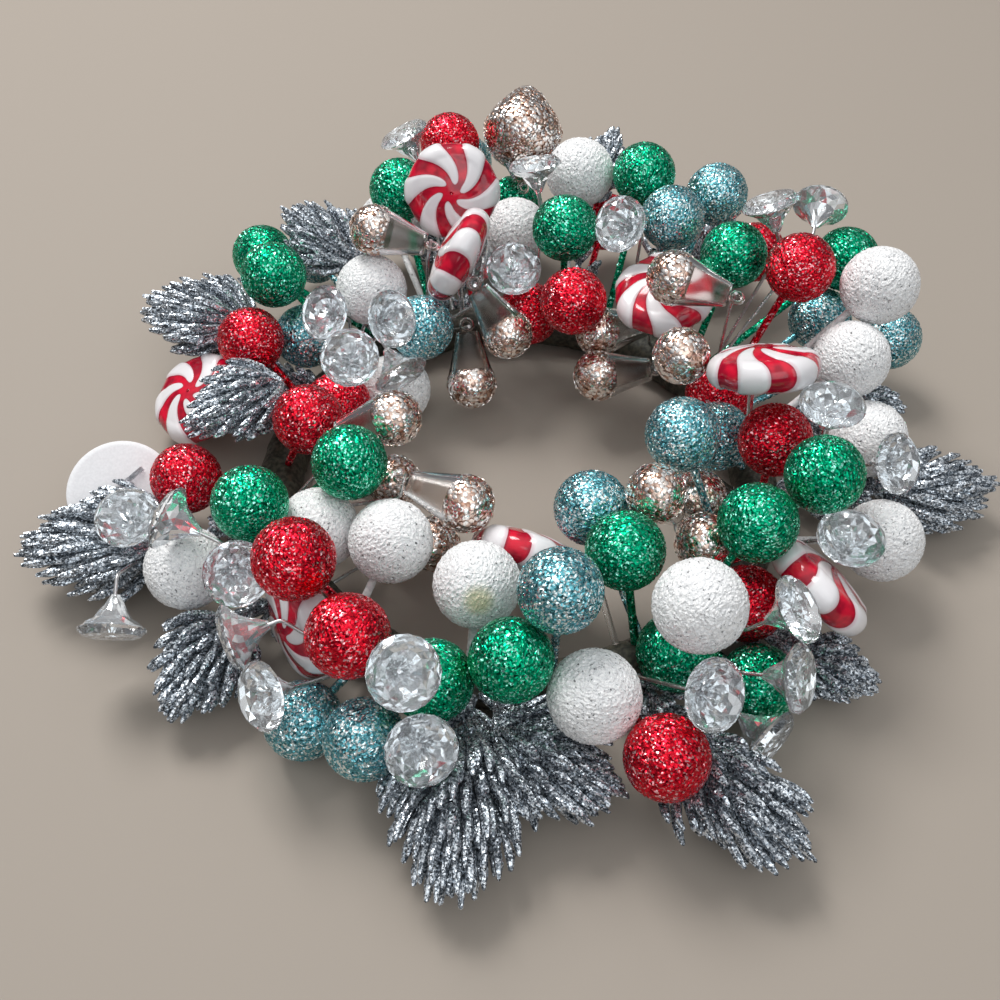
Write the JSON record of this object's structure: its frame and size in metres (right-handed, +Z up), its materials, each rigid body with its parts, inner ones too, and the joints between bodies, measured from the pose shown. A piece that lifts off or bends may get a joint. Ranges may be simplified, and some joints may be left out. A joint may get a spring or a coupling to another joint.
{
  "type": "candle ring",
  "caption": "Candle ring of glitter balls, peppermints, jewels, sequin drops and frosted pine sprigs on stems bound to a taped hoop, with an open centre for a candle.",
  "frame": {"origin": "centre of the hoop, on the plane that the ring rests on", "axes": "+Z up along the candle's axis; -Y is the side nearest the viewer in the picture, +X to its right"},
  "size_m": [0.2469, 0.2415, 0.0612],
  "materials": {
    "red_glitter": "coarse red glitter flakes bonded all over a foam ball",
    "green_glitter": "coarse green glitter flakes bonded all over a foam ball",
    "snow_glitter": "white frosted grains with fine pale glitter",
    "ice_glitter": "coarse ice blue glitter flakes bonded all over a foam ball",
    "red_stem": "red glittered paper wrapped wire",
    "green_stem": "green glittered paper wrapped wire",
    "snow_stem": "white glittered paper wrapped wire",
    "ice_stem": "ice blue glittered paper wrapped wire",
    "clear_stem": "clear moulded pick",
    "peppermint": "glossy white sweet with red swirled petals, varnished",
    "jewel": "clear faceted acrylic",
    "silver_wire": "fine silver coloured wire",
    "sequin": "round champagne sequins under a clear moulded skin",
    "hoop_steel": "plain drawn wire",
    "floral_tape": "olive brown stretched crepe tape, slightly waxy",
    "pine_glitter": "silver grey glitter packed on short stiff needles"
  },
  "bodies": {
    "root": {"drop_wires": "silver_wire", "green_ball_stems": "green_stem", "green_balls_inner": "green_glitter", "green_balls_outer": "green_glitter", "green_balls_top": "green_glitter", "ice_ball_stems": "ice_stem", "ice_balls_inner": "ice_glitter", "ice_balls_outer": "ice_glitter", "ice_balls_top": "ice_glitter", "jewel_wires": "silver_wire", "jewels_inner": "jewel", "jewels_outer": "jewel", "jewels_top": "jewel", "peppermint_stems": "clear_stem", "peppermints_inner": "peppermint", "peppermints_outer": "peppermint", "pine_sprig_1": "pine_glitter", "pine_sprig_10": "pine_glitter", "pine_sprig_11": "pine_glitter", "pine_sprig_12": "pine_glitter", "pine_sprig_13": "pine_glitter", "pine_sprig_14": "pine_glitter", "pine_sprig_2": "pine_glitter", "pine_sprig_3": "pine_glitter", "pine_sprig_4": "pine_glitter", "pine_sprig_5": "pine_glitter", "pine_sprig_6": "pine_glitter", "pine_sprig_7": "pine_glitter", "pine_sprig_8": "pine_glitter", "pine_sprig_9": "pine_glitter", "red_ball_stems": "red_stem", "red_balls_inner": "red_glitter", "red_balls_outer": "red_glitter", "red_balls_top": "red_glitter", "sequin_drop_large": "sequin", "sequin_drops_inner": "sequin", "sequin_drops_top": "sequin", "snow_ball_stems": "snow_stem", "snow_balls_inner": "snow_glitter", "snow_balls_outer": "snow_glitter", "snow_balls_top": "snow_glitter", "tape_wrap": "floral_tape", "wire_hoop": "hoop_steel"}
  },
  "joints": []
}
